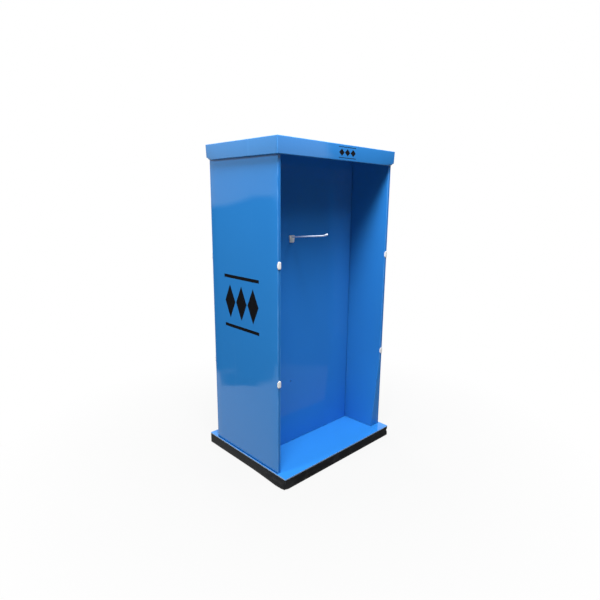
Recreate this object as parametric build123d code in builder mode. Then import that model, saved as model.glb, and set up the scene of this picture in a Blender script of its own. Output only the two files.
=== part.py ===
"""Free-standing floor display of folded double-wall board: a black base tray with a blue floor
sheet, two hollow wedge-shaped side walls, a flat hollow core between them that carries a hook,
and a cap over the top. Millimetres, +Z up, front at -Y, origin on the floor under the middle."""

import math
import os

from build123d import *

os.makedirs("parts", exist_ok=True)

# Overall sizes
stand_height = 1750.0
base_width = 876.0
base_depth = 696.0
base_height = 58.0
wall_span = 858.0
wall_depth = 560.0
edge_width = 18.0
core_width = 684.0
core_depth = 140.0
cap_skirt = 80.0

# Board and folds
board = 6.0
fold_radius = 3.0
cap_fit = 2.0
slot_fit = 0.5

# Front edge of the right wall at its foot, where it has sprung open
sprung_edge = 79.0

# Tabs that tuck through the floor sheet, clear of the tray's bottom panel
tab_clearance = 24.0
wall_tab_width = 100.0
core_tab_width = 80.0
core_tab_inset = 152.0

# Dividers in the base tray, inside the ends of the core and outside its faces
cross_divider_inset = 52.0
long_divider_gap = 60.0
divider_fit = 0.5

# Hook
hook_x = -152.0
hook_height = 1276.0
spare_hole_height = 446.0
rod_diameter = 8.0
rod_fit = 0.3
rod_reach = 224.0
rod_rise = 4.8
rod_bend = 12.0
tip_length = 28.0
tip_rise = 19.0
plate_top_width = 44.0
plate_bottom_width = 30.0
plate_height = 39.0
plate_thickness = 6.0
plate_corner = 5.0
plate_above_rod = 8.0
lock_size = 34.0
lock_thickness = 5.0
stem_end = 4.0

# Edge clips
clip_height = 38.0
clip_leg = 3.0
clip_wall = 1.2
clip_fit = 0.2
lower_clip = 560.0
upper_clip = 1162.0

# Places that follow from the sizes
rolled = 2 * board
floor_top = base_height + board
cap_underside = stand_height - board
column_height = cap_underside - floor_top
half_span = wall_span / 2
half_wall = wall_depth / 2
half_core = core_width / 2
panel_y = -core_depth / 2
tab_length = base_height - tab_clearance
core_tab_x = half_core - core_tab_inset
cross_divider_x = half_core - cross_divider_inset
long_divider_y = core_depth / 2 + long_divider_gap
cap_width = wall_span + 2 * (cap_fit + rolled)
cap_depth = wall_depth + 2 * (cap_fit + rolled)
hole_radius = rod_diameter / 2 + rod_fit
sprung_top = lower_clip - clip_height / 2


def wall_points(side, front_edge=edge_width):
    """Corners of a side wall's section from above: outer sheet, front edge, cheeks, rear edge."""
    return [
        (side * half_span, -half_wall),
        (side * (half_span - front_edge), -half_wall),
        (side * half_core, panel_y),
        (side * half_core, -panel_y),
        (side * (half_span - edge_width), half_wall),
        (side * half_span, half_wall),
    ]


def folded_section(plane, points):
    """The outside of a folded column, with its folds rounded."""
    with BuildSketch(plane) as section:
        with BuildLine():
            Polyline(*points, close=True)
        make_face()
        fillet(section.vertices(), fold_radius)
    return section.sketch


def grown_section(plane, points, amount):
    """The section grown, or shrunk where the amount is below zero, with sharp corners."""
    with BuildSketch(plane) as section:
        with BuildLine():
            Polyline(*points, close=True)
        make_face()
        offset(amount=amount, kind=Kind.INTERSECTION, mode=Mode.REPLACE)
    return section.sketch


# Base tray: bottom panel and four sides of double board, rolled over at the top
with BuildPart() as base_tray:
    Box(base_width, base_depth, base_height, align=(Align.CENTER, Align.CENTER, Align.MIN))
    fillet(base_tray.edges().filter_by(Axis.Z), fold_radius)
    with BuildSketch(Plane.XY.offset(board)):
        Rectangle(base_width - 2 * rolled, base_depth - 2 * rolled)
    extrude(amount=base_height - board, mode=Mode.SUBTRACT)
    fillet(base_tray.edges().group_by(Axis.Z)[-1], fold_radius)
base_tray.part.label = "base_tray"
export_step(base_tray.part, "parts/base_tray.step")

# Dividers: boards on edge in the tray, half-lapped where they cross
divider_height = base_height - board
lap_height = divider_height / 2
divider_x = {"left": -cross_divider_x, "middle": 0.0, "right": cross_divider_x}
divider_y = {"front": -long_divider_y, "back": long_divider_y}
lap_width = board + 2 * divider_fit

for name, y in divider_y.items():
    with BuildPart(Plane((0, y, board))) as long_divider:
        Box(
            base_width - 2 * (rolled + divider_fit),
            board,
            divider_height,
            align=(Align.CENTER, Align.CENTER, Align.MIN),
        )
        with Locations(*[(x, 0, lap_height) for x in divider_x.values()]):
            Box(
                lap_width,
                board,
                lap_height,
                align=(Align.CENTER, Align.CENTER, Align.MIN),
                mode=Mode.SUBTRACT,
            )
    long_divider.part.label = f"long_divider_{name}"
    export_step(long_divider.part, f"parts/long_divider_{name}.step")

for name, x in divider_x.items():
    with BuildPart(Plane((x, 0, board))) as cross_divider:
        Box(
            board,
            base_depth - 2 * (rolled + divider_fit),
            divider_height,
            align=(Align.CENTER, Align.CENTER, Align.MIN),
        )
        with Locations(*[(0, y, 0) for y in divider_y.values()]):
            Box(
                board,
                lap_width,
                lap_height,
                align=(Align.CENTER, Align.CENTER, Align.MIN),
                mode=Mode.SUBTRACT,
            )
    cross_divider.part.label = f"cross_divider_{name}"
    export_step(cross_divider.part, f"parts/cross_divider_{name}.step")

# Where the tabs of the walls and the core pass through the floor sheet
wall_tab_places = [(side * (half_core + board / 2), 0) for side in (-1, 1)]
core_tab_places = [
    (x, y)
    for x in (-core_tab_x, core_tab_x)
    for y in (panel_y + board / 2, -panel_y - board / 2)
]

# Floor sheet: a flat board on the tray's rim, with a slot for each tab
with BuildPart() as floor_sheet:
    with BuildSketch(Plane.XY.offset(base_height)) as sheet:
        Rectangle(base_width, base_depth)
        fillet(sheet.vertices(), fold_radius)
        with Locations(*wall_tab_places):
            Rectangle(board + 2 * slot_fit, wall_tab_width + 2 * slot_fit, mode=Mode.SUBTRACT)
        with Locations(*core_tab_places):
            Rectangle(core_tab_width + 2 * slot_fit, board + 2 * slot_fit, mode=Mode.SUBTRACT)
    extrude(amount=board)
floor_sheet.part.label = "floor_sheet"
export_step(floor_sheet.part, "parts/floor_sheet.step")

foot_plane = Plane.XY.offset(floor_top)
tab_plane = Plane.XY.offset(floor_top - tab_length)

# Left wall: one sheet folded into a hollow wedge, tucked into the floor sheet
with BuildPart() as left_wall:
    extrude(folded_section(foot_plane, wall_points(-1)), amount=column_height)
    hollow = grown_section(foot_plane, wall_points(-1), -board)
    extrude(hollow, amount=column_height, mode=Mode.SUBTRACT)
    with BuildSketch(tab_plane):
        with Locations(wall_tab_places[0]):
            Rectangle(board, wall_tab_width)
    extrude(amount=tab_length)
left_wall.part.label = "left_wall"
export_step(left_wall.part, "parts/left_wall.step")

# Right wall: the same column, with the inner cheek sprung open between its foot and the lower clip
sprung_plane = Plane.XY.offset(sprung_top)
closed_height = cap_underside - sprung_top
with BuildPart() as right_wall:
    sprung = folded_section(foot_plane, wall_points(1, sprung_edge))
    closed = folded_section(sprung_plane, wall_points(1))
    loft([sprung, closed], ruled=True)
    extrude(closed, amount=closed_height)
    sprung_hollow = grown_section(foot_plane, wall_points(1, sprung_edge), -board)
    closed_hollow = grown_section(sprung_plane, wall_points(1), -board)
    loft([sprung_hollow, closed_hollow], ruled=True, mode=Mode.SUBTRACT)
    extrude(closed_hollow, amount=closed_height, mode=Mode.SUBTRACT)
    with BuildSketch(tab_plane):
        with Locations(wall_tab_places[1]):
            Rectangle(board, wall_tab_width)
    extrude(amount=tab_length)
right_wall.part.label = "right_wall"
export_step(right_wall.part, "parts/right_wall.step")

# Core: one sheet folded into a flat sleeve, with a hole for the hook and a spare one below it
with BuildPart() as core:
    with BuildSketch(foot_plane) as sleeve:
        Rectangle(core_width, core_depth)
        fillet(sleeve.vertices(), fold_radius)
        Rectangle(core_width - 2 * board, core_depth - 2 * board, mode=Mode.SUBTRACT)
    extrude(amount=column_height)
    with BuildSketch(tab_plane):
        with Locations(*core_tab_places):
            Rectangle(core_tab_width, board)
    extrude(amount=tab_length)
    panel_plane = Plane((hook_x, panel_y, 0), x_dir=(1, 0, 0), z_dir=(0, -1, 0))
    with BuildSketch(panel_plane):
        with Locations((0, hook_height), (0, spare_hole_height)):
            Circle(hole_radius)
    extrude(amount=-board, mode=Mode.SUBTRACT)
core.part.label = "core"
export_step(core.part, "parts/core.step")

# Top cap: an upside-down tray, its skirts rolled over to double board
with BuildPart() as top_cap:
    with BuildSketch(Plane.XY.offset(stand_height - cap_skirt)) as skirt:
        Rectangle(cap_width, cap_depth)
        fillet(skirt.vertices(), fold_radius)
    extrude(amount=cap_skirt)
    with BuildSketch(Plane.XY.offset(stand_height - cap_skirt)):
        Rectangle(cap_width - 2 * rolled, cap_depth - 2 * rolled)
    extrude(amount=cap_skirt - board, mode=Mode.SUBTRACT)
    fillet(top_cap.edges().group_by(Axis.Z)[-1], fold_radius)
    fillet(top_cap.edges().group_by(Axis.Z)[0], fold_radius)
top_cap.part.label = "top_cap"
export_step(top_cap.part, "parts/top_cap.step")

# Hook plate: tapered plastic plate against the panel, with the rod through its upper part
plate_top = hook_height + plate_above_rod
plate_bottom = plate_top - plate_height
with BuildPart() as hook_plate:
    with BuildSketch(panel_plane) as plate:
        with BuildLine():
            Polyline(
                (-plate_top_width / 2, plate_top),
                (plate_top_width / 2, plate_top),
                (plate_bottom_width / 2, plate_bottom),
                (-plate_bottom_width / 2, plate_bottom),
                close=True,
            )
        make_face()
        fillet(plate.vertices(), plate_corner)
        with Locations((0, hook_height)):
            Circle(hole_radius, mode=Mode.SUBTRACT)
    extrude(amount=plate_thickness)
    fillet(hook_plate.faces().sort_by(Axis.Y)[0].outer_wire().edges(), plate_thickness / 3)
hook_plate.part.label = "hook_plate"
export_step(hook_plate.part, "parts/hook_plate.step")

# Hook lock: square plastic plate behind the panel, pushed on to the rod's stem
lock_y = panel_y + board
with BuildPart() as hook_lock:
    with BuildSketch(Plane((hook_x, lock_y, hook_height), x_dir=(1, 0, 0), z_dir=(0, 1, 0))) as lock:
        Rectangle(lock_size, lock_size)
        fillet(lock.vertices(), plate_corner)
        Circle(hole_radius, mode=Mode.SUBTRACT)
    extrude(amount=lock_thickness)
hook_lock.part.label = "hook_lock"
export_step(hook_lock.part, "parts/hook_lock.step")

# Hook rod: straight through the panel, then rising a little to an upturned tip
stem_y = lock_y + lock_thickness + stem_end
bend_y = panel_y - plate_thickness - rod_bend
rise = math.radians(rod_rise)
tip_angle = math.radians(tip_rise)
run_end = (bend_y - rod_reach * math.cos(rise), hook_height + rod_reach * math.sin(rise))
tip_end = (run_end[0] - tip_length * math.cos(tip_angle), run_end[1] + tip_length * math.sin(tip_angle))
with BuildPart() as hook_rod:
    with BuildLine() as rod_line:
        FilletPolyline(
            (hook_x, stem_y, hook_height),
            (hook_x, bend_y, hook_height),
            (hook_x, *run_end),
            (hook_x, *tip_end),
            radius=4 * rod_diameter,
        )
    with BuildSketch(Plane((hook_x, stem_y, hook_height), z_dir=(0, -1, 0))):
        Circle(rod_diameter / 2)
    sweep()
    fillet(hook_rod.faces().sort_by(Axis.Y)[0].edges(), rod_diameter / 3)
hook_rod.part.label = "hook_rod"
export_step(hook_rod.part, "parts/hook_rod.step")

# Edge clips: white U-clips over the thin edges of both walls, two on each edge
with BuildPart() as edge_clips:
    for level in (lower_clip, upper_clip):
        clip_plane = Plane.XY.offset(level - clip_height / 2)
        for side in (-1, 1):
            outside = grown_section(clip_plane, wall_points(side), clip_fit + clip_wall)
            inside = grown_section(clip_plane, wall_points(side), clip_fit)
            extrude(outside - inside, amount=clip_height)
        with BuildSketch(clip_plane):
            Rectangle(2 * wall_span, wall_depth - 2 * clip_leg)
        extrude(amount=clip_height, mode=Mode.SUBTRACT)
edge_clips.part.label = "edge_clips"
export_step(edge_clips.part, "parts/edge_clips.step")
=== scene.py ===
# %% [markdown]
# # A folded cardboard display stand
#
# The stand is made of sheets of double-wall board, printed blue under a glossy film: a cap,
# two hollow side walls, a flat hollow core with a hook, and a floor sheet on a black tray.
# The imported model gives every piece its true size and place. This lesson loads it, sets up a
# small studio around it, and then dresses it piece by piece.

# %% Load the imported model
import math

import bmesh
import bpy
from mathutils import Euler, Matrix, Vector


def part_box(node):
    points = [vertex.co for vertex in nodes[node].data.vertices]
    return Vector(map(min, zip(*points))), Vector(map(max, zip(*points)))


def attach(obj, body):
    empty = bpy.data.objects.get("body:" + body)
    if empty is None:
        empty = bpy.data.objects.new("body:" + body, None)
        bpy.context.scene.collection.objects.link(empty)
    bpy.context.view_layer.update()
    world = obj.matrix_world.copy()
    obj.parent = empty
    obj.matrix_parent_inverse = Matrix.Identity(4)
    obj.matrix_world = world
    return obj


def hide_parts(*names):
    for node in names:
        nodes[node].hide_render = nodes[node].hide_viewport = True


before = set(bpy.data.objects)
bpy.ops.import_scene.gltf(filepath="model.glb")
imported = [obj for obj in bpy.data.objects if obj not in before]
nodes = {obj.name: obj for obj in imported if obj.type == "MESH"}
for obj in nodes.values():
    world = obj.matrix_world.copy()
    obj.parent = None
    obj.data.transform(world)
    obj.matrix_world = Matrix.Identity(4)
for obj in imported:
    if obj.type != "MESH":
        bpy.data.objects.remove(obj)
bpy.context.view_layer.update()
bpy.ops.object.select_all(action="DESELECT")

# %% [markdown]
# ## The sizes that the looks depend on
#
# Nothing is measured twice: the places of the folds, the cap and the floor come from the boxes
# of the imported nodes. Only what a box can't tell, such as the thickness of the board and the
# radius of a fold, is written here as a number.

# %% Sizes from the frame, in metres
MILLIMETRE = 0.001
BOARD = 6 * MILLIMETRE
FOLD = 3 * MILLIMETRE
ROLLED = 2 * BOARD
EDGE_WIDTH = 18 * MILLIMETRE
SPRUNG_WIDTH = 79 * MILLIMETRE

wall_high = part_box("right_wall")[1]
core_low, core_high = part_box("core")
floor_low, floor_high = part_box("floor_sheet")
clip_low, clip_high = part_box("edge_clips")

half_span = wall_high.x
half_wall = wall_high.y
half_core = core_high.x
half_sleeve = core_high.y
floor_top = floor_high.z
wall_top = wall_high.z
print(f"walls {2 * half_span:.3f} m wide, {2 * half_wall:.3f} m deep, from {floor_top:.3f} m up")

# %% [markdown]
# ## The camera
#
# The photograph was taken from standing eye height, to the left of the front, with a moderately
# wide lens. The camera is placed by its position and three angles: how far it turns, tips down
# and rolls. A small lens shift puts the middle of the lens where the photograph has it.

# %% Camera
CAMERA_PLACE = Vector((-1.850, -1.941, 1.456))
CAMERA_TURN = math.radians(-44.70)
CAMERA_TIP = math.radians(12.65)
CAMERA_ROLL = math.radians(0.84)
CAMERA_LENS = 27.74
CAMERA_SHIFT = (-0.0178, 0.0113)

bpy.ops.object.camera_add(location=CAMERA_PLACE)
camera = bpy.context.object
camera.name = "camera"
camera.data.sensor_width = 36.0
camera.data.lens = CAMERA_LENS
camera.data.shift_x, camera.data.shift_y = CAMERA_SHIFT
turn = Euler((0, 0, CAMERA_TURN)).to_matrix()
tip = Euler((math.pi / 2 - CAMERA_TIP, 0, 0)).to_matrix()
roll = Euler((0, 0, CAMERA_ROLL)).to_matrix()
camera.rotation_euler = (turn @ tip @ roll).to_euler()
bpy.context.scene.camera = camera
print("camera at", tuple(camera.location), "lens", CAMERA_LENS)

# %% [markdown]
# ## Shader maths as Python
#
# A finish is a small program, and it is easier to read as sums than as a web of nodes. The class
# `Wire` wraps a socket, so that `1 - mask * 0.5` adds the Math nodes by itself. Every other node
# comes from one method of `Finish`, which takes the node's type, its settings and its sockets.

# %% A socket that can be used in sums
class Wire:
    """A socket's value; a sum on it adds a Math node."""

    def __init__(self, finish, socket):
        self.finish = finish
        self.socket = socket

    def math(self, operation, first, second=0.0, clamp=False):
        settings = {"operation": operation, "use_clamp": clamp}
        return self.finish.node("ShaderNodeMath", settings, {0: first, 1: second})

    def __add__(self, other):
        return self.math("ADD", self, other)

    def __radd__(self, other):
        return self.math("ADD", other, self)

    def __sub__(self, other):
        return self.math("SUBTRACT", self, other)

    def __rsub__(self, other):
        return self.math("SUBTRACT", other, self)

    def __mul__(self, other):
        return self.math("MULTIPLY", self, other)

    def __truediv__(self, other):
        return self.math("DIVIDE", self, other)

    def __lt__(self, other):
        return self.math("LESS_THAN", self, other)

    def __gt__(self, other):
        return self.math("GREATER_THAN", self, other)

    def __abs__(self):
        return self.math("ABSOLUTE", self)

    def sine(self):
        return self.math("SINE", self)

    def wrap(self, low, high):
        """The value, repeated between two bounds."""
        return self.finish.node("ShaderNodeMath", {"operation": "WRAP"}, {0: self, 1: high, 2: low})

    def limit(self):
        """The value, kept between 0 and 1."""
        return self.math("ADD", self, 0.0, clamp=True)


# %% A finish and the maker of its nodes
class Finish:
    """A node tree that is being put together, for a material or for the world."""

    def __init__(self, block, output="ShaderNodeOutputMaterial"):
        self.block = block
        block.use_nodes = True
        self.tree = block.node_tree
        self.tree.nodes.clear()
        self.output = self.tree.nodes.new(output)

    def node(self, kind, settings=None, sockets=None, result=0):
        """Adds a node and returns one of its outputs as a wire."""
        made = self.tree.nodes.new(kind)
        for key, value in (settings or {}).items():
            setattr(made, key, value)
        for key, value in (sockets or {}).items():
            self.put(made.inputs[key], value)
        return Wire(self, made.outputs[result])

    def put(self, socket, value):
        """Links a wire to a socket, or sets the socket to a plain value."""
        if isinstance(value, Wire):
            self.tree.links.new(value.socket, socket)
        else:
            socket.default_value = value

    def place(self):
        """The point on the surface, in the piece's own coordinates, as three wires."""
        point = self.node("ShaderNodeTexCoord", result="Object")
        return [self.node("ShaderNodeSeparateXYZ", sockets={0: point}, result=axis) for axis in range(3)]

    def noise(self, scale, detail=2.0, stretch=(1, 1, 1)):
        """Soft noise from 0 to 1; stretch multiplies the coordinates first."""
        point = self.node("ShaderNodeTexCoord", result="Object")
        point = self.node("ShaderNodeMapping", sockets={"Vector": point, "Scale": stretch})
        sockets = {"Vector": point, "Scale": scale, "Detail": detail}
        return self.node("ShaderNodeTexNoise", sockets=sockets)

    def mix(self, share, first, second):
        """Blends two colours."""
        return self.node("ShaderNodeMix", {"data_type": "RGBA"}, {0: share, 6: first, 7: second}, 2)

    def bump(self, height, distance):
        """A normal that follows a height of 0 to 1, times a distance in metres."""
        return self.node("ShaderNodeBump", sockets={"Height": height, "Distance": distance})

    def seen(self):
        """1 where the camera, a reflection or a refraction looks, 0 where light is gathered."""
        kinds = ("Is Camera Ray", "Is Glossy Ray", "Is Transmission Ray")
        camera_ray, glossy_ray, through_ray = [self.node("ShaderNodeLightPath", result=k) for k in kinds]
        return (camera_ray + glossy_ray + through_ray).limit()

    def close(self, shader):
        """Ends the tree with a shader."""
        self.put(self.output.inputs["Surface"], shader)
        return self.block

    def surface(self, sockets):
        """Ends the tree with one Principled shader."""
        return self.close(self.node("ShaderNodeBsdfPrincipled", sockets=sockets))


def new_finish(name):
    return Finish(bpy.data.materials.new(name))


print("shader helpers ready")

# %% [markdown]
# ## The studio: world and floor
#
# The stand is shown on a plain white ground, as in a catalogue. The world is white where the
# camera or a reflection looks at it, and gives only a little light of its own. The floor is the
# same: seen directly, most of its white is its own, so it fades into the background, and the
# rest is lit paper, which keeps the stand's soft shadow.

# %% World
WORLD_LIGHT = 0.02
WHITE = (1, 1, 1, 1)

bpy.context.scene.world = bpy.data.worlds.new("studio")
studio = Finish(bpy.context.scene.world, "ShaderNodeOutputWorld")
dim = studio.node("ShaderNodeBackground", sockets={"Color": WHITE, "Strength": WORLD_LIGHT})
white = studio.node("ShaderNodeBackground", sockets={"Color": WHITE, "Strength": 1.0})
studio.close(studio.node("ShaderNodeMixShader", sockets={0: studio.seen(), 1: dim, 2: white}))
bpy.context.scene.view_settings.view_transform = "Standard"
print("world gives", WORLD_LIGHT, "of its white as light")

# %% Floor
FLOOR_SIZE = 16.0
FLOOR_OWN_WHITE = 0.90
FADE_START = 0.6
FADE_LENGTH = 1.2
PAPER = (0.28, 0.28, 0.28, 1)

bpy.ops.mesh.primitive_plane_add(size=FLOOR_SIZE, location=(0, 0, -MILLIMETRE))
floor = bpy.context.object
floor.name = "studio_floor"
paper = new_finish("studio_paper")
point = paper.node("ShaderNodeTexCoord", result="Object")
distance = paper.node("ShaderNodeVectorMath", {"operation": "LENGTH"}, {0: point}, "Value")
faded = ((distance - FADE_START) / FADE_LENGTH).limit()
share = (FLOOR_OWN_WHITE + faded * (1 - FLOOR_OWN_WHITE)) * paper.seen()
lit = paper.node("ShaderNodeBsdfDiffuse", sockets={"Color": PAPER})
glow = paper.node("ShaderNodeEmission", sockets={"Color": WHITE, "Strength": 1.0})
floor_look = paper.node("ShaderNodeMixShader", sockets={0: share, 1: lit, 2: glow})
floor.data.materials.append(paper.close(floor_look))
print("floor", FLOOR_SIZE, "m square")

# %% [markdown]
# ## The studio: lamps and cards
#
# One soft lamp, high up in front and to the left, lights the stand and throws the cap's shadow
# down the panel. A warmer one further away lights the outside of the left wall, a weak one fills
# in from the right, and two more light the rear and the right side. A glossy film mirrors
# whatever stands around it, so dark cards stand where the panel, the cap, the cheek and the left
# wall look, and a grey one lies on the floor. Only reflections see them, and they keep the blue
# deep, as a photographer's black cards do.

# %% Lamps
AIM = Vector((0.0, -0.2, 0.9))


def around(turn, rise, distance):
    """A place around the stand: turn from the front towards its left, and rise, in degrees."""
    turn, rise = math.radians(turn), math.radians(rise)
    flat = distance * math.cos(rise)
    return AIM + Vector((-flat * math.sin(turn), -flat * math.cos(turn), distance * math.sin(rise)))


def soft_lamp(name, place, size, power, colour=(1, 1, 1), mirrored=False):
    """A square area lamp that looks at the middle of the stand."""
    bpy.ops.object.light_add(type="AREA", location=place)
    lamp = bpy.context.object
    lamp.name = name
    lamp.data.shape = "SQUARE"
    lamp.data.size = size
    lamp.data.energy = power
    lamp.data.color = colour
    lamp.visible_glossy = mirrored
    lamp.rotation_euler = (AIM - place).to_track_quat("-Z", "Y").to_euler()


soft_lamp("key_lamp", around(49, 69, 3.6), 1.0, 240.0, mirrored=True)
soft_lamp("left_lamp", around(100, 33, 7.0), 1.2, 275.0, colour=(1, 0.96, 0.82))
soft_lamp("right_lamp", around(-30, 60, 3.6), 1.2, 56.0)
soft_lamp("rear_lamp", around(-160, 32, 4.0), 1.6, 95.0)
soft_lamp("side_lamp", around(-105, 22, 4.0), 1.6, 70.0)

# %% Cards that only reflections see
CARD_SOFT = 0.08


def dark_card(name, centre, facing, width, height, shade=0.01, slant=0.0, waviness=0.12):
    """A card that faces a direction, with soft wavy edges; its top edge falls by the slant."""
    bpy.ops.mesh.primitive_plane_add(size=1.0, location=centre)
    card = bpy.context.object
    card.name = name
    card.scale = (width, height, 1)
    card.rotation_euler = Vector(facing).to_track_quat("Z", "Y").to_euler()
    for kind in ("camera", "diffuse", "shadow", "transmission", "volume_scatter"):
        setattr(card, "visible_" + kind, False)
    matte = new_finish(name + "_paper")
    across, up, _ = matte.place()
    wave = (matte.noise(4.0, 2.0) - 0.5) * waviness
    sides = ((0.5 - abs(across)) * width + wave) / CARD_SOFT
    top = ((0.5 - up - across * slant) * height + wave) / CARD_SOFT
    foot = ((0.5 + up) * height + wave) / CARD_SOFT
    dark = sides.limit() * top.limit() * foot.limit()
    clear = matte.node("ShaderNodeBsdfTransparent")
    cloth = matte.node("ShaderNodeEmission", sockets={"Color": (shade, shade, shade, 1)})
    card_look = matte.node("ShaderNodeMixShader", sockets={0: dark, 1: clear, 2: cloth})
    card.data.materials.append(matte.close(card_look))
    print(name, width, "x", height, "m")


dark_card("panel_card", (0.90, -1.15, 0.86), (-1, 1, 0), 2.4, 2.04, shade=0.04, slant=0.24)
dark_card("lid_card", (1.30, -0.77, 1.95), (-1, 1, 0), 1.3, 0.8, shade=0.04)
dark_card("wall_card", (-1.24, 0.79, 0.75), (1, -1, 0), 3.6, 1.54, waviness=0.8)
dark_card("cheek_card", (-0.80, -0.72, 0.85), (1, 0, 0), 1.15, 2.10)
dark_card("ground_card", (0.80, -1.25, -MILLIMETRE / 2), (0, 0, 1), 2.4, 2.1, shade=0.30)

# %% [markdown]
# ## Edit-mode helpers
#
# Every piece starts as a primitive at its size and place and is then worked in edit mode. Faces
# and edges are picked in code, by where they are and which way they face.

# %% Starting, picking and cutting
def start_box(name, low, high):
    """Adds a cube at its size and place, and opens it in edit mode."""
    bpy.ops.object.select_all(action="DESELECT")
    bpy.ops.mesh.primitive_cube_add(size=1.0, location=(Vector(low) + Vector(high)) / 2)
    piece = bpy.context.object
    piece.name = name
    piece.scale = Vector(high) - Vector(low)
    bpy.ops.object.transform_apply(location=True, rotation=True, scale=True)
    bpy.ops.object.mode_set(mode="EDIT")
    return piece


def middle(part):
    """The middle of an edge or a face."""
    return sum((corner.co for corner in part.verts), Vector()) / len(part.verts)


def pick(piece, kind, wanted):
    """Selects the vertices, edges or faces that pass a test."""
    bpy.ops.mesh.select_mode(type=kind)
    bpy.ops.mesh.select_all(action="DESELECT")
    mesh = bmesh.from_edit_mesh(piece.data)
    parts = {"VERT": mesh.verts, "EDGE": mesh.edges, "FACE": mesh.faces}[kind]
    for part in parts:
        part.select_set(bool(wanted(part)))
    mesh.select_flush_mode()
    bmesh.update_edit_mesh(piece.data)


def slice_across(axis, places):
    """Cuts the whole piece with planes across an axis."""
    for place in places:
        bpy.ops.mesh.select_all(action="SELECT")
        bpy.ops.mesh.bisect(plane_co=axis * place, plane_no=axis)


def nudge(piece, shift):
    """Moves every vertex by what a function of its place says."""
    mesh = bmesh.from_edit_mesh(piece.data)
    for vertex in mesh.verts:
        vertex.co += shift(vertex.co)
    bmesh.update_edit_mesh(piece.data)


def push(amount):
    """Extrudes what is selected and moves it."""
    bpy.ops.mesh.extrude_region_move(TRANSFORM_OT_translate={"value": amount})


def close_piece(piece, smooth_below=32):
    """Leaves edit mode with the faces outwards, and smooths all but the sharp edges."""
    bpy.ops.mesh.select_mode(type="FACE")
    bpy.ops.mesh.select_all(action="SELECT")
    bpy.ops.mesh.normals_make_consistent(inside=False)
    if bmesh.from_edit_mesh(piece.data).calc_volume(signed=True) < 0:
        bpy.ops.mesh.flip_normals()
    bpy.ops.object.mode_set(mode="OBJECT")
    bpy.ops.object.shade_smooth_by_angle(angle=math.radians(smooth_below))
    print(piece.name, len(piece.data.polygons), "faces")


X, Y, Z = Vector((1, 0, 0)), Vector((0, 1, 0)), Vector((0, 0, 1))

# %% [markdown]
# ## Side walls
#
# Each wall is one sheet folded round into a hollow wedge: a flat outer face, thin front and rear
# edges, and two cheeks that splay in to the corners of the core. A box cut along the two cheek
# planes gives the wedge; its open ends are deleted and Solidify gives the board its thickness.
# The seam where the outer sheet meets the return of the cheek is a real groove, and the sheet
# bows out a little between its folds, which is what bends the reflections in the film.

# %% Folding a wall
SEAM_PLACE = 6.5 * MILLIMETRE
SEAM_WIDTH = 1.2 * MILLIMETRE
SEAM_DEPTH = 3 * MILLIMETRE
WALL_BOW = 2 * MILLIMETRE
SPRING_CURVE = 1.3
FOLD_ANGLE = math.radians(12)
WALL_TAB = 100 * MILLIMETRE
FOOT_GAP = 2 * MILLIMETRE
tab_end = core_low.z
sprung_top = clip_low.z
foot = floor_top + FOOT_GAP


def wedge(name, side):
    """The closed wedge: a box with its two inner corners cut off along the cheeks."""
    inner, outer = sorted((side * half_core, side * half_span))
    wall = start_box(name, (inner, -half_wall, foot), (outer, half_wall, wall_top))
    for end in (-1, 1):
        fold = Vector((side * (half_span - EDGE_WIDTH), end * half_wall, 0))
        corner = Vector((side * half_core, end * half_sleeve, 0))
        outward = (corner - fold).cross(Z) * side * end
        bpy.ops.mesh.select_all(action="SELECT")
        bpy.ops.mesh.bisect(plane_co=fold, plane_no=outward, clear_outer=True, use_fill=True)
    return wall


def spring_open(side):
    """How the front cheek moves below the lower clip, where it stands away from the outer sheet."""
    def shift(place):
        depth = (-place.y - half_sleeve) / (half_wall - half_sleeve)
        drop = (sprung_top - place.z) / (sprung_top - floor_top)
        if depth <= 0 or drop <= 0 or abs(place.x) > half_span - MILLIMETRE:
            return Vector()
        return -side * X * (SPRUNG_WIDTH - EDGE_WIDTH) * depth * drop ** SPRING_CURVE
    return shift


def bow_out(side):
    """How the outer sheet bows between its folds."""
    half_height = (wall_top - floor_top) / 2

    def shift(place):
        if abs(place.x) < half_span - BOARD - MILLIMETRE or abs(place.y) > half_wall - FOLD:
            return Vector()
        across = 1 - (place.y / half_wall) ** 2
        along = 1 - ((place.z - floor_top - half_height) / half_height) ** 2
        return side * X * WALL_BOW * across * along
    return shift


# %% Opening, thickening and seaming it
def seam(wall, side, end):
    """A groove down a thin edge, where the outer sheet meets the cheek's return."""
    outer_line = half_span - SEAM_PLACE
    inner_line = outer_line - SEAM_WIDTH
    on_edge = lambda face: face.normal.y * end > 0.99 and abs(middle(face).y) > half_wall - MILLIMETRE
    for line in (outer_line, inner_line):
        pick(wall, "FACE", on_edge)
        bpy.ops.mesh.bisect(plane_co=side * X * line, plane_no=X)
    pick(wall, "FACE", lambda face: on_edge(face) and inner_line < abs(middle(face).x) < outer_line)
    push(-end * Y * SEAM_DEPTH)


def tab(piece, on_rim, axis, centre, half_width):
    """A tab pushed down out of the lower rim, through the floor sheet."""
    rim = lambda face: face.normal.z < -0.9 and on_rim(middle(face))
    for end in (-1, 1):
        pick(piece, "FACE", rim)
        bpy.ops.mesh.bisect(plane_co=axis * (centre + end * half_width), plane_no=axis)
    pick(piece, "FACE", lambda face: rim(face) and abs(middle(face).dot(axis) - centre) < half_width)
    push(Z * (tab_end - foot))


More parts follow.
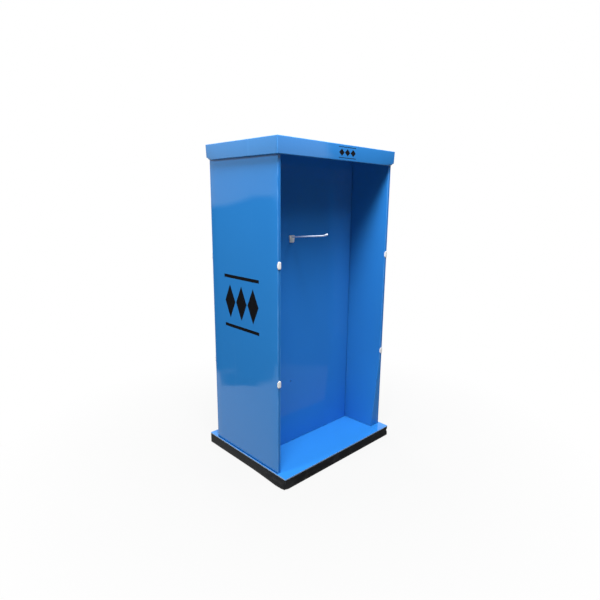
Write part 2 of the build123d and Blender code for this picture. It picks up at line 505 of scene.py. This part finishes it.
def thicken(piece):
    """Gives a folded sheet the thickness of the board, inwards, with a second finish inside."""
    bpy.ops.object.mode_set(mode="OBJECT")
    for _ in ("printed outside", "plain inside"):
        piece.data.materials.append(None)
    sheet = piece.modifiers.new("board", "SOLIDIFY")
    sheet.thickness = BOARD
    sheet.offset = -1
    sheet.use_even_offset = True
    sheet.material_offset = 1
    sheet.material_offset_rim = 1
    bpy.ops.object.modifier_apply(modifier=sheet.name)
    bpy.ops.object.mode_set(mode="EDIT")


def folded_wall(name, side, sprung=False):
    """One side wall, from the wedge to the finished sheet."""
    wall = wedge(name, side)
    slice_across(Y, [half_wall * step / 5 for step in range(-4, 5)])
    slice_across(Z, [foot + (sprung_top - foot) * step / 6 for step in range(1, 7)])
    slice_across(Z, [sprung_top + (wall_top - sprung_top) * step / 9 for step in range(1, 9)])
    if sprung:
        nudge(wall, spring_open(side))
    pick(wall, "FACE", lambda face: abs(face.normal.z) > 0.99)
    bpy.ops.mesh.delete(type="FACE")
    pick(wall, "EDGE", lambda edge: edge.is_manifold and edge.calc_face_angle() > FOLD_ANGLE)
    bpy.ops.mesh.bevel(offset=FOLD, segments=4, affect="EDGES")
    thicken(wall)
    for end in (-1, 1):
        seam(wall, side, end)
    tab(wall, lambda place: abs(abs(place.x) - half_core) < BOARD, Y, 0.0, WALL_TAB / 2)
    nudge(wall, bow_out(side))
    close_piece(wall)
    return wall


# %% Both walls
left_wall = folded_wall("left_wall_sheet", -1)
right_wall = folded_wall("right_wall_sheet", 1, sprung=True)
for wall, node in ((left_wall, "left_wall"), (right_wall, "right_wall")):
    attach(wall, "root")
    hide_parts(node)

# %% [markdown]
# ## The core
#
# Between the walls stands a flat sleeve folded from one sheet; its front is the panel that the
# hook hangs on. It is a box with its ends deleted, its folds rounded and its board thickened, as
# the walls are. Its folds stand a little short of the walls, and that groove is the dark line in
# the inner corners of the bay. Behind the groove the sleeve swells out until it bears on the
# walls: a gap all the way through would let light in from the other bay. Two holes for hook
# wires are drilled with a Boolean.

# %% Folding the core
CORE_GAP = 4.5 * MILLIMETRE
GROOVE_DEPTH = 20 * MILLIMETRE
GROOVE_END = 30 * MILLIMETRE
CORE_FOLD = 4 * MILLIMETRE
CORE_TAB = 80 * MILLIMETRE
CORE_TAB_PLACE = 190 * MILLIMETRE
HOLE_RADIUS = 4.3 * MILLIMETRE
HOOK_HEIGHT = 1.276
SPARE_HEIGHT = 0.446
plate_low, plate_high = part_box("hook_plate")
hook_x = (plate_low.x + plate_high.x) / 2

half_gapped = half_core - CORE_GAP


def swell(place):
    """How the sides of the sleeve swell out to the walls, behind the groove at each fold."""
    in_groove = abs(place.y) > half_sleeve - GROOVE_END + MILLIMETRE
    if in_groove or abs(place.x) < half_gapped - MILLIMETRE:
        return Vector()
    return math.copysign(CORE_GAP, place.x) * X


core = start_box("core_sheet", (-half_gapped, -half_sleeve, foot), (half_gapped, half_sleeve, wall_top))
pick(core, "FACE", lambda face: abs(face.normal.z) > 0.9)
bpy.ops.mesh.delete(type="FACE")
pick(core, "EDGE", lambda edge: edge.is_manifold)
bpy.ops.mesh.bevel(offset=CORE_FOLD, segments=5, affect="EDGES")
slice_across(Y, [end * (half_sleeve - depth) for end in (-1, 1) for depth in (GROOVE_DEPTH, GROOVE_END)])
nudge(core, swell)
thicken(core)
for side in (-1, 1):
    for end in (-1, 1):
        face_line = half_sleeve - BOARD
        on_face = lambda place: place.y * end > face_line and abs(place.x) < half_gapped - CORE_FOLD
        tab(core, on_face, X, side * CORE_TAB_PLACE, CORE_TAB / 2)
close_piece(core)

# %% Drilling the hook holes
for height in (HOOK_HEIGHT, SPARE_HEIGHT):
    bpy.ops.mesh.primitive_cylinder_add(
        vertices=24, radius=HOLE_RADIUS, depth=3 * BOARD,
        location=(hook_x, -half_sleeve + BOARD / 2, height), rotation=(math.pi / 2, 0, 0))
    drill = bpy.context.object
    hole = core.modifiers.new("hole", "BOOLEAN")
    hole.operation = "DIFFERENCE"
    hole.object = drill
    bpy.context.view_layer.objects.active = core
    bpy.ops.object.modifier_apply(modifier=hole.name)
    bpy.data.objects.remove(drill)
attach(core, "root")
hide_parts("core")
print("core", len(core.data.polygons), "faces")

# %% [markdown]
# ## Cap and base tray
#
# Both are trays folded from one sheet, with the sides rolled over to double board; the cap is
# the same thing upside down. Inset and extrude hollow a box in two moves, a bevel rounds the
# folds, and a groove at each corner shows where the short side butts against the long one.

# %% Folding a tray
CORNER_SEAM = 7 * MILLIMETRE
CORNER_GAP = 1 * MILLIMETRE
CORNER_DEPTH = 1.5 * MILLIMETRE


def tray_folds(half, ends):
    """A test for the outer corner edges, and for all the edges at the rim and the closed end."""
    def wanted(edge):
        place = middle(edge)
        upright = abs(edge.verts[0].co.z - edge.verts[1].co.z) > MILLIMETRE
        at_corner = abs(place.x) > half.x - MILLIMETRE and abs(place.y) > half.y - MILLIMETRE
        at_end = min(abs(place.z - end) for end in ends) < MILLIMETRE / 10
        return edge.calc_face_angle() > 1 and (at_corner if upright else at_end)
    return wanted


def folded_tray(name, node, opening, bow):
    """A tray with its opening up (1) or down (-1), whose rim bows out between the corners."""
    low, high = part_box(node)
    tray = start_box(name, low, high)
    pick(tray, "FACE", lambda face: face.normal.z * opening > 0.9)
    bpy.ops.mesh.inset(thickness=ROLLED)
    push(-opening * Z * (high.z - low.z - BOARD))
    pick(tray, "EDGE", tray_folds(high, (low.z, high.z)))
    bpy.ops.mesh.bevel(offset=FOLD, segments=4, affect="EDGES")
    slice_across(X, [high.x * step / 6 for step in range(-5, 6)])
    slice_across(Y, [high.y * step / 5 for step in range(-4, 5)])
    on_side = lambda face: abs(face.normal.x) > 0.99 and abs(middle(face).x) > high.x - MILLIMETRE
    lines = [high.y - CORNER_SEAM, high.y - CORNER_SEAM - CORNER_GAP]
    for line in lines + [-line for line in lines]:
        pick(tray, "FACE", on_side)
        bpy.ops.mesh.bisect(plane_co=Y * line, plane_no=Y)
    for side in (-1, 1):
        pick(tray, "FACE", lambda face: on_side(face) and middle(face).x * side > 0
             and lines[1] < abs(middle(face).y) < lines[0])
        push(-side * X * CORNER_DEPTH)
    closed_end = low.z if opening > 0 else high.z

    def shift(place):
        reach = abs(place.z - closed_end) / (high.z - low.z)
        move = Vector()
        if abs(place.y) > high.y - ROLLED - MILLIMETRE:
            move.y = math.copysign(bow * reach * (1 - (place.x / high.x) ** 2), place.y)
        if abs(place.x) > high.x - ROLLED - MILLIMETRE:
            move.x = math.copysign(bow * reach * (1 - (place.y / high.y) ** 2), place.x)
        return move

    nudge(tray, shift)
    close_piece(tray)
    return tray


# %% The cap and the tray
cap = folded_tray("cap_sheet", "top_cap", -1, 1.5 * MILLIMETRE)
tray = folded_tray("base_tray_sheet", "base_tray", 1, 1 * MILLIMETRE)
for piece, node, slot in ((cap, "top_cap", "blue_board"), (tray, "base_tray", "black_board")):
    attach(piece, "root")
    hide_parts(node)

# %% [markdown]
# ## Dents in the cap and the tray
#
# Board that has been carried about is crushed where it was knocked. Two lower corners of the cap
# are pushed in, the left side of the tray bulges near its front corner, that corner is blunt, and
# the right front corner has a notch. Each dent is made the same way: planes cut the piece finely
# round the spot, and the vertices there are moved, the nearest ones the furthest.

# %% A dent
DENT_CUTS = (-0.75, -0.5, -0.25, 0.25, 0.5, 0.75)


def dent(piece, spot, move, reach):
    """Moves a spot of the surface, and what lies within its reach less and less."""
    bpy.ops.object.select_all(action="DESELECT")
    piece.select_set(True)
    bpy.context.view_layer.objects.active = piece
    bpy.ops.object.mode_set(mode="EDIT")
    for axis in (X, Y, Z):
        slice_across(axis, [spot.dot(axis) + reach.dot(axis) * cut for cut in DENT_CUTS])
    bpy.ops.mesh.select_all(action="SELECT")
    bpy.ops.mesh.remove_doubles(threshold=MILLIMETRE / 20)

    def shift(place):
        away = Vector((place - spot)[i] / reach[i] for i in range(3))
        return move * max(0.0, 1 - away.length)

    nudge(piece, shift)
    close_piece(piece)


# %% Two crushed corners of the cap
CRUSH_REACH = Vector((30, 30, 15)) * MILLIMETRE
CRUSH_DEPTH = 9 * MILLIMETRE

cap_low, cap_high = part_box("top_cap")
dent(cap, Vector((cap_low.x, cap_high.y, cap_low.z)), Vector((1, -1, 1)) * CRUSH_DEPTH, CRUSH_REACH)
dent(cap, Vector((cap_high.x, cap_low.y, cap_low.z)), Vector((-1, 1, 1)) * CRUSH_DEPTH, CRUSH_REACH)

# %% A bulged side, a blunt corner and a notched corner of the tray
BULGE_PLACE = 60 * MILLIMETRE
BULGE = 9 * MILLIMETRE
BULGE_REACH = Vector((60, 190, 50)) * MILLIMETRE
BLUNT = 3.5 * MILLIMETRE
BLUNT_REACH = Vector((20, 36, 20)) * MILLIMETRE
NOTCH_HEIGHT = 34 * MILLIMETRE
NOTCH = 4.5 * MILLIMETRE
NOTCH_REACH = Vector((18, 18, 11)) * MILLIMETRE

tray_low, tray_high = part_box("base_tray")
dent(tray, Vector((tray_low.x, tray_low.y + BULGE_PLACE, 0)), -X * BULGE, BULGE_REACH)
dent(tray, tray_low, Vector((1, 1, 1)) * BLUNT, BLUNT_REACH)
dent(tray, Vector((tray_high.x, tray_low.y, NOTCH_HEIGHT)), Vector((-1, 1, 0)) * NOTCH, NOTCH_REACH)

# %% [markdown]
# ## Edge clips
#
# Eight white plastic clips hold the thin edges of the walls together. One is modelled on the
# right wall's front edge: a pill-shaped head with a softly domed front, and two short legs
# extruded back along the sheets. The other seven are copies, mirrored to their own edges.

# %% One clip
CLIP_WALL = 1.2 * MILLIMETRE
CLIP_FIT = 0.2 * MILLIMETRE
CLIP_LEG = 3 * MILLIMETRE
CLIP_CORNER = 8 * MILLIMETRE
CLIP_DOME = ((0.5, 0.7), (1.2, 0.5), (2.5, 0.3))
CLIP_LEVELS = (0.560, 1.162)
clip_front = clip_low.y
clip_side = clip_high.x
clip_half_height = CLIP_LEVELS[0] - clip_low.z
cheek_slope = (half_span - EDGE_WIDTH - half_core) / (half_wall - half_sleeve)


def edge_clip():
    """The clip for the right wall's front edge, at the height of the floor."""
    inner_side = half_span - EDGE_WIDTH - CLIP_FIT - CLIP_WALL + cheek_slope * CLIP_WALL
    bridge_back = clip_front + CLIP_WALL
    leg_length = CLIP_LEG - half_wall - bridge_back
    low = (inner_side, clip_front, -clip_half_height)
    clip = start_box("edge_clip", low, (clip_side, bridge_back, clip_half_height))
    pick(clip, "EDGE", lambda edge: abs(edge.verts[0].co.y - edge.verts[1].co.y) > MILLIMETRE)
    bpy.ops.mesh.bevel(offset=CLIP_CORNER, segments=7, affect="EDGES")
    pick(clip, "FACE", lambda face: face.normal.y < -0.9)
    for inset, rise in CLIP_DOME:
        bpy.ops.mesh.inset(thickness=inset * MILLIMETRE)
        bpy.ops.transform.translate(value=-Y * rise * MILLIMETRE)
    leg_half_height = clip_half_height - CLIP_CORNER
    slice_across(X, [inner_side + CLIP_WALL, clip_side - CLIP_WALL])
    slice_across(Z, [-leg_half_height, leg_half_height])
    on_leg = lambda face: face.normal.y > 0.9 and abs(middle(face).z) < leg_half_height
    pick(clip, "FACE", lambda face: on_leg(face) and middle(face).x > clip_side - CLIP_WALL)
    push(Y * leg_length)
    pick(clip, "FACE", lambda face: on_leg(face) and middle(face).x < inner_side + CLIP_WALL)
    push((Y - X * cheek_slope) * leg_length)
    close_piece(clip, smooth_below=60)
    return clip


# %% Eight clips
def copy_of(piece, name, scale, shift):
    """A copy with its own mesh, mirrored and moved, and applied."""
    bpy.ops.object.select_all(action="DESELECT")
    piece.select_set(True)
    bpy.context.view_layer.objects.active = piece
    bpy.ops.object.duplicate(linked=False)
    copied = bpy.context.object
    copied.name = name
    copied.scale = scale
    copied.location = shift
    bpy.ops.object.transform_apply(location=True, rotation=True, scale=True)
    bpy.ops.object.mode_set(mode="EDIT")
    bpy.ops.mesh.select_all(action="SELECT")
    bpy.ops.mesh.normals_make_consistent(inside=False)
    bpy.ops.object.mode_set(mode="OBJECT")
    return copied


pattern = edge_clip()
edge_places = {
    "right_front": (1, 1), "left_front": (-1, 1), "right_rear": (1, -1), "left_rear": (-1, -1)}
clips = []
for edge_name, (mirror_x, mirror_y) in edge_places.items():
    for level_name, level in zip(("lower", "upper"), CLIP_LEVELS):
        name = f"clip_{edge_name}_{level_name}"
        clips.append(copy_of(pattern, name, (mirror_x, mirror_y, 1), Z * level))
bpy.data.objects.remove(pattern)
for clip in clips:
    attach(clip, "root")
    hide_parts("edge_clips")
print("clips", len(clips))

# %% [markdown]
# ## The hook
#
# A moulded plate lies on the panel and a white enamelled wire comes out of it, rises a little and
# turns up at its tip, which was dipped once more and is thicker for it. The plate is a tapered
# box with rounded corners and a short collar round the wire. The wire starts as a ring that is
# extruded along its straight runs and spun round its bends, as a bender would lead it.

# %% Hook plate
PLATE_CORNER = 5 * MILLIMETRE
PLATE_ROUND = 2 * MILLIMETRE
PLATE_TAPER = 30 / 44
COLLAR_RADIUS = 6 * MILLIMETRE
COLLAR_LENGTH = 4 * MILLIMETRE
COLLAR_ROUND = 1.5 * MILLIMETRE

plate = start_box("hook_plate_moulding", plate_low, plate_high)
pick(plate, "VERT", lambda vertex: vertex.co.z < plate_low.z + MILLIMETRE)
bpy.ops.transform.resize(value=(PLATE_TAPER, 1, 1), center_override=(hook_x, 0, 0))
pick(plate, "EDGE", lambda edge: abs(edge.verts[0].co.y - edge.verts[1].co.y) > MILLIMETRE)
bpy.ops.mesh.bevel(offset=PLATE_CORNER, segments=6, affect="EDGES")
pick(plate, "EDGE", lambda edge: middle(edge).y < plate_low.y + MILLIMETRE / 10)
bpy.ops.mesh.bevel(offset=PLATE_ROUND, segments=4, affect="EDGES")
pick(plate, "FACE", lambda face: face.normal.y < -0.99)
bpy.ops.mesh.inset(thickness=PLATE_ROUND / 2)
close_piece(plate, smooth_below=40)

# %% Collar round the wire
bpy.ops.mesh.primitive_circle_add(
    vertices=32, radius=COLLAR_RADIUS, fill_type="NGON",
    location=(hook_x, plate_low.y + MILLIMETRE, HOOK_HEIGHT), rotation=(math.pi / 2, 0, 0))
collar = bpy.context.object
bpy.ops.object.transform_apply(location=True, rotation=True, scale=True)
bpy.ops.object.mode_set(mode="EDIT")
bpy.ops.mesh.select_all(action="SELECT")
push(-Y * (COLLAR_LENGTH + MILLIMETRE))
pick(collar, "EDGE", lambda edge: middle(edge).y < plate_low.y - COLLAR_LENGTH + MILLIMETRE / 10)
bpy.ops.mesh.bevel(offset=COLLAR_ROUND, segments=3, affect="EDGES")
close_piece(collar, smooth_below=40)
plate.select_set(True)
bpy.context.view_layer.objects.active = plate
bpy.ops.object.join()
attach(plate, "root")
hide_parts("hook_plate")

# %% Hook wire
WIRE_RADIUS = 4 * MILLIMETRE
BEND_RADIUS = 32 * MILLIMETRE
BEND_PLACE = 12 * MILLIMETRE
RUN_LENGTH = 224 * MILLIMETRE
TIP_LENGTH = 28 * MILLIMETRE
RUN_RISE = math.radians(4.8)
TIP_RISE = math.radians(19)
rod_low, rod_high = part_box("hook_rod")


def heading(rise):
    """The wire's direction in the bay, at a rise above level."""
    return Vector((0, -math.cos(rise), math.sin(rise)))


def bend(place, start_rise, end_rise):
    """Spins the open end of the wire upwards, and returns where the bend ends."""
    towards = Vector((0, math.sin(start_rise), math.cos(start_rise)))
    centre = place + towards * BEND_RADIUS
    turn_by = end_rise - start_rise
    bpy.ops.mesh.spin(steps=6, angle=turn_by, center=centre, axis=X)
    return centre - Vector((0, math.sin(end_rise), math.cos(end_rise))) * BEND_RADIUS


bpy.ops.object.select_all(action="DESELECT")
stem = Vector((hook_x, rod_high.y, HOOK_HEIGHT))
bpy.ops.mesh.primitive_circle_add(
    vertices=24, radius=WIRE_RADIUS, location=stem, rotation=(math.pi / 2, 0, 0))
wire = bpy.context.object
wire.name = "hook_wire"
bpy.ops.object.transform_apply(location=True, rotation=True, scale=True)
bpy.ops.object.mode_set(mode="EDIT")
bpy.ops.mesh.select_all(action="SELECT")
bpy.ops.mesh.edge_face_add()
first_cut = BEND_RADIUS * math.tan(RUN_RISE / 2)
second_cut = BEND_RADIUS * math.tan((TIP_RISE - RUN_RISE) / 2)
place = Vector((hook_x, plate_low.y - BEND_PLACE + first_cut, HOOK_HEIGHT))
bpy.ops.mesh.select_mode(type="EDGE")
push(place - stem)
place = bend(place, 0.0, RUN_RISE)
run = heading(RUN_RISE) * (RUN_LENGTH - first_cut - second_cut)
push(run)
place = bend(place + run, RUN_RISE, TIP_RISE)

# %% Wire tip
DIP_LENGTH = 20 * MILLIMETRE
DIP_STEP = 2 * MILLIMETRE
DIP_SWELL = 1.3
TIP_ROUND = 0.9 * WIRE_RADIUS

push(heading(TIP_RISE) * (TIP_LENGTH - second_cut - DIP_LENGTH))
push(heading(TIP_RISE) * DIP_STEP)
bpy.ops.transform.resize(value=(DIP_SWELL, DIP_SWELL, DIP_SWELL))
push(heading(TIP_RISE) * (DIP_LENGTH - DIP_STEP))
bpy.ops.mesh.select_all(action="SELECT")
bpy.ops.mesh.remove_doubles(threshold=MILLIMETRE / 100)
tip_edge = rod_low.y + DIP_LENGTH / 2
pick(wire, "EDGE", lambda edge: edge.calc_face_angle(0) > 1 and middle(edge).y < tip_edge)
bpy.ops.mesh.bevel(offset=TIP_ROUND, segments=5, affect="EDGES")
close_piece(wire, smooth_below=50)
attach(wire, "root")
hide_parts("hook_rod")
print("wire from", min(v.co.y for v in wire.data.vertices), "CAD", rod_low.y)

# %% [markdown]
# ## Blue print under a glossy film
#
# Each sheet is printed an even blue and laminated, so it is the film that makes the surface: it
# mirrors the room, but not perfectly. The cap and the core come from other sheets than the walls,
# so their blue differs a little, and some films shine less. The flutes inside the board show
# through as very faint ribs, the sheets are slightly wavy, hands have left dull smudges, and along
# the folds the print has stretched and gone pale; on the walls this pale fold line is also a painted
# highlight, where the rounded fold catches the light. All of it is worked out from the place on the
# piece.

# %% Blue board
BLUE = (0.025, 0.205, 0.600, 1)
BLUE_DEEP = (0.022, 0.190, 0.570, 1)
CAP_BLUES = ((0.026, 0.182, 0.495, 1), (0.023, 0.168, 0.465, 1))
CORE_BLUES = ((0.024, 0.203, 0.640, 1), (0.021, 0.188, 0.610, 1))
# pale blue of stretched print, also used as a painted highlight along the walls' folds
BLUE_STRETCHED_AND_HIGHLIGHT = (0.080, 0.290, 0.700, 1)
PRINT_BLACK = (0.008, 0.008, 0.010, 1)
FLUTE_PITCH = 7.5 * MILLIMETRE


def near(wire, place, reach):
    """1 within a reach of a place along one axis."""
    return abs(wire - place) < reach


def flutes(wire):
    """A wave that follows the flutes of the board, from -1 to 1."""
    return (wire * (2 * math.pi / FLUTE_PITCH)).sine()


def blue_board(name, flutes_across, layers=(), gloss=0.5, blues=(BLUE, BLUE_DEEP)):
    """The blue finish; flutes_across picks the axis across the flutes, layers change the colour."""
    board = new_finish(name)
    place = board.place()
    cloud = board.noise(2.2, 3.0)
    smudge = ((board.noise(7.0, 5.0) - 0.52) * 5).limit()
    scratch = ((board.noise(30.0, 4.0, (1, 1, 0.05)) - 0.66) * 9).limit()
    colour = board.mix(cloud, *blues)
    colour = board.mix(scratch * 0.12, colour, BLUE_STRETCHED_AND_HIGHLIGHT)
    for layer in layers:
        colour = layer(board, place, colour)
    waves = board.noise(2.6, 1.0)
    normal = board.bump(flutes(place[flutes_across]) * 0.006 + waves, 0.0012)
    roughness = 0.07 + smudge * 0.07 + scratch * 0.10
    return board.surface({
        "Base Color": colour, "Roughness": roughness, "Normal": normal, "Specular IOR Level": gloss})


# %% Layers on the blue: worn folds, on the walls also a painted highlight, and print
WORN = 3.2 * MILLIMETRE


def worn_along(lines, pale=BLUE_STRETCHED_AND_HIGHLIGHT):
    """A layer of patchy wear along fold lines; on the walls it also serves as a painted highlight."""
    def layer(board, place, colour):
        patches = ((board.noise(45.0, 3.0, (1, 1, 0.25)) - 0.35) * 3).limit()
        return board.mix((lines(*place) * patches).limit(), colour, pale)
    return layer


def printed(mask):
    """A layer of black print."""
    def layer(board, place, colour):
        return board.mix(mask(*place), colour, PRINT_BLACK)
    return layer


def wall_folds_worn_and_highlit(x, y, z):
    """The upright folds of a side wall, where the pale wear also paints a highlight on the rounded fold.
    """
    outer = near(abs(x), half_span, WORN)
    inner = near(abs(x), half_span - EDGE_WIDTH, WORN)
    return near(abs(y), half_wall, WORN) * (outer + inner)


def tray_fold_lines(node):
    """The folds of a tray: places that are near the box's faces on two axes at once."""
    low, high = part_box(node)

    def lines(x, y, z):
        ends = near(z, low.z, WORN) + near(z, high.z, WORN)
        return near(abs(x), high.x, WORN) + near(abs(y), high.y, WORN) + ends > 1.5
    return lines


# %% [markdown]
# ## Ornament printed on the blue
#
# The left wall and the front of the cap carry a little black print. Here it is a plain border
# ornament, a row of lozenges between two rules, drawn with a few comparisons: repeating the
# coordinate along the row with a Wrap node draws every lozenge with the same sum.

# %% A row of lozenges between two rules
LOZENGES = 3
RULE_SHARE = 0.88
LOZENGE_SHARE = 0.70
LOZENGE_EDGE = 0.92


def frieze(across, up, half_width, half_height):
    """1 on the ornament, in a field of the given half sizes round the origin."""
    pitch = 2 * half_width / LOZENGES
    repeated = across.wrap(-pitch / 2, pitch / 2)
    lozenge = abs(repeated) / (pitch / 2) + abs(up) / (half_height * LOZENGE_SHARE) < LOZENGE_EDGE
    rules = abs(up) > half_height * RULE_SHARE
    field = (abs(across) < half_width) * (abs(up) < half_height)
    return (lozenge + rules).limit() * field


# %% Its places
WALL_FRIEZE = {"y": 0.015, "z": 0.930, "half_width": 0.150, "half_height": 0.145}
CAP_FRIEZE = {"x": 0.030, "half_width": 0.066, "half_height": 0.028}


def wall_ornament(x, y, z):
    """The ornament on the outside of the left wall."""
    sizes = WALL_FRIEZE["half_width"], WALL_FRIEZE["half_height"]
    return frieze(y - WALL_FRIEZE["y"], z - WALL_FRIEZE["z"], *sizes) * (x < -half_span + MILLIMETRE)


def cap_ornament(x, y, z):
    """The same in small, on the front of the cap."""
    sizes = CAP_FRIEZE["half_width"], CAP_FRIEZE["half_height"]
    middle_z = (cap_low.z + cap_high.z) / 2
    return frieze(x - CAP_FRIEZE["x"], z - middle_z, *sizes) * (y < cap_low.y + MILLIMETRE)


# %% Walls, core and cap
LEFT_WALL_GLOSS = 0.34
RIGHT_WALL_GLOSS = 0.36
CORE_GLOSS = 0.3

# painted highlight: the pale line along the walls' folds is partly wear, partly a painted highlight
wall_wear_and_painted_highlight = worn_along(wall_folds_worn_and_highlit)
wall_layers = [wall_wear_and_painted_highlight, printed(wall_ornament)]
cap_layers = [worn_along(tray_fold_lines("top_cap")), printed(cap_ornament)]
left_wall.data.materials[0] = blue_board("blue_left_wall_print", 1, wall_layers, LEFT_WALL_GLOSS)
right_wall.data.materials[0] = blue_board("blue_right_wall_print", 1, [wall_wear_and_painted_highlight], RIGHT_WALL_GLOSS)
core.data.materials[0] = blue_board("blue_core_print", 0, gloss=CORE_GLOSS, blues=CORE_BLUES)
cap.data.materials.append(blue_board("blue_cap_print", 0, cap_layers, blues=CAP_BLUES))
print("blue finishes", [piece.data.materials[0].name for piece in (left_wall, right_wall, core, cap)])

# %% [markdown]
# ## The floor sheet
#
# The floor sheet keeps its imported shape and only gets a better finish. Its edges are cut straight
# through, so they show the inside of double-wall board: three flat papers with two more between
# them, which are wavy on the short ends and straight along the flutes on the long ones, and the
# hollows between the papers are painted dark as shade. Along the foot of each wall a painted
# shadow darkens the sheet.

# %% Cut edges, with painted shade in their hollows, and painted shade at the walls' feet
EDGE_PAPER = (0.26, 0.42, 0.68, 1)
# painted shade: the dark colour that stands for the shaded hollows between the papers
EDGE_HOLLOW_PAINTED_SHADE = (0.15, 0.27, 0.48, 1)
# painted shade: the dark blue of the walls' contact shadow on the floor sheet
BLUE_PAINTED_SHADE = (0.005, 0.038, 0.200, 1)
PAINTED_SHADE_PLACE = half_span + 1.5 * MILLIMETRE
PAINTED_SHADE_REACH = 4.5 * MILLIMETRE
FLAT_PAPERS = (0.04, 0.5, 0.96)
WAVY_PAPERS = (0.27, 0.73)
WAVE_HEIGHT = 0.16
PAPER_HALF = 0.05
EDGE_SKIN = MILLIMETRE / 4


def cut_edges(board, place, colour):
    """A layer: the papers of the board on the sheet's cut edges, with painted shade in the hollows
    between them.
    """
    x, y, z = place
    through = (z - floor_low.z) / BOARD
    wave = flutes(y) * WAVE_HEIGHT
    papers = sum(near(through, level, PAPER_HALF) for level in FLAT_PAPERS)
    papers = papers + sum(near(through, wave + level, PAPER_HALF) for level in WAVY_PAPERS)
    at_edge = (abs(x) > floor_high.x - EDGE_SKIN) + (abs(y) > floor_high.y - EDGE_SKIN)
    return board.mix(at_edge.limit(), colour, board.mix(papers.limit(), EDGE_HOLLOW_PAINTED_SHADE, EDGE_PAPER))


def wall_foot_painted_shade(board, place, colour):
    """A layer: a painted shadow, a dark band along the foot of each wall."""
    x, y, z = place
    # painted shade: the blue is darkened along each wall's foot as its contact shadow
    foot_shade = (1 - abs(abs(x) - PAINTED_SHADE_PLACE) / PAINTED_SHADE_REACH).limit() * (abs(y) < half_wall)
    return board.mix((foot_shade * 2).limit() * 0.9, colour, BLUE_PAINTED_SHADE)


floor_blue = blue_board("blue_floor_print", 0, [wall_foot_painted_shade, cut_edges])
print("floor finish", floor_blue.name)

# %% [markdown]
# ## Black board and plain board
#
# The tray is printed black under a duller film. It stands on the floor, so it is scuffed, its
# folds have worn grey and a little dust lies along its foot. The insides of the walls and the
# dividers are plain brown board: paper fibres, faint flutes and no film.

# %% Black print
BLACK = (0.009, 0.010, 0.012, 1)
BLACK_SCUFFED = (0.030, 0.031, 0.033, 1)
BLACK_WORN = (0.042, 0.043, 0.046, 1)
DUST = (0.11, 0.105, 0.10, 1)
DUST_HEIGHT = 16 * MILLIMETRE

black = new_finish("black_print")
x, y, z = place = black.place()
scuff = ((black.noise(24.0, 5.0, (1, 1, 2.5)) - 0.50) * 4).limit()
dust = (1 - z / DUST_HEIGHT).limit() * black.noise(60.0, 4.0)
colour = black.mix(scuff, BLACK, BLACK_SCUFFED)
colour = black.mix(dust * 0.35, colour, DUST)
colour = worn_along(tray_fold_lines("base_tray"), BLACK_WORN)(black, place, colour)
relief = flutes(x + y) * 0.05 + black.noise(70.0, 4.0) * 0.4
black_print = black.surface({
    "Base Color": colour, "Roughness": 0.40 + scuff * 0.25, "Normal": black.bump(relief, 0.0006),
    "Specular IOR Level": 0.08})
print("black finish", black_print.name)

# %% Plain brown board
KRAFT = (0.43, 0.29, 0.165, 1)
KRAFT_DARK = (0.35, 0.23, 0.125, 1)
KRAFT_FLECK = (0.22, 0.14, 0.075, 1)

kraft = new_finish("plain_board")
x, y, z = kraft.place()
fibre = kraft.noise(260.0, 4.0, (1, 1, 0.2))
fleck = ((fibre - 0.62) * 8).limit()
colour = kraft.mix(kraft.noise(8.0, 3.0), KRAFT, KRAFT_DARK)
colour = kraft.mix(fleck * 0.6, colour, KRAFT_FLECK)
relief = flutes(x + y) * 0.08 + fibre * 0.4
plain_board = kraft.surface({
    "Base Color": colour, "Roughness": 0.75 + fleck * 0.15, "Normal": kraft.bump(relief, 0.0006),
    "Specular IOR Level": 0.2})
print("brown finish", plain_board.name)

# %% [markdown]
# ## Clips and hook
#
# The clips are glossy white mouldings and the hook plate is a duller off-white one with a fine
# grain. The wire is enamelled: the white film is a little uneven along the wire, and fine
# scratches along it come from the goods that slide on and off. Its white is tinted blue, a painted
# reflection of the blue panel round it.

# %% Moulded plastic
def moulded(name, pale, shaded, roughness, grain):
    """A plastic with slight flow marks and a grain of the given depth."""
    plastic = new_finish(name)
    flow = plastic.noise(35.0, 3.0, (1, 1, 0.4))
    fine = plastic.noise(900.0, 2.0)
    return plastic.surface({
        "Base Color": plastic.mix(flow, pale, shaded), "Roughness": roughness + flow * 0.15,
        "Normal": plastic.bump(fine, grain)})


clip_plastic = moulded("clip_plastic", (0.90, 0.91, 0.92, 1), (0.82, 0.83, 0.84, 1), 0.20, 0.00003)
hook_plastic = moulded("hook_plastic", (0.80, 0.81, 0.82, 1), (0.68, 0.69, 0.70, 1), 0.28, 0.00012)

# %% Enamelled wire
# painted reflection: both enamel colours are tinted blue as a reflection of the blue panel
ENAMEL_WITH_PAINTED_REFLECTION = (0.72, 0.79, 0.92, 1)
ENAMEL_THIN_WITH_PAINTED_REFLECTION = (0.52, 0.61, 0.76, 1)

enamel = new_finish("enamelled_wire")
uneven = enamel.noise(90.0, 3.0, (1, 0.35, 1))
scratch = ((enamel.noise(500.0, 3.0, (1, 0.03, 1)) - 0.58) * 6).limit()
enamelled_wire = enamel.surface({
    "Base Color": enamel.mix((uneven * 0.6 + scratch * 0.4).limit(), ENAMEL_WITH_PAINTED_REFLECTION, ENAMEL_THIN_WITH_PAINTED_REFLECTION),
    "Roughness": 0.28 + scratch * 0.3, "Normal": enamel.bump(uneven, 0.0003)})

# %% [markdown]
# ## The finishes given out
#
# Every new piece gets its finish, and so do the imported nodes that show or lie hidden inside.

# %% Giving out the finishes
for piece in (left_wall, right_wall, core):
    piece.data.materials[1] = plain_board
for piece, look in ((tray, black_print), (plate, hook_plastic), (wire, enamelled_wire)):
    piece.data.materials.append(look)
for clip in clips:
    clip.data.materials.append(clip_plastic)
KEPT_LOOKS = {"floor_sheet": floor_blue, "hook_lock": hook_plastic}
for name, node in nodes.items():
    node.data.materials.clear()
    node.data.materials.append(KEPT_LOOKS.get(name, plain_board))
print("finishes", sorted(look.name for look in bpy.data.materials if look.users))
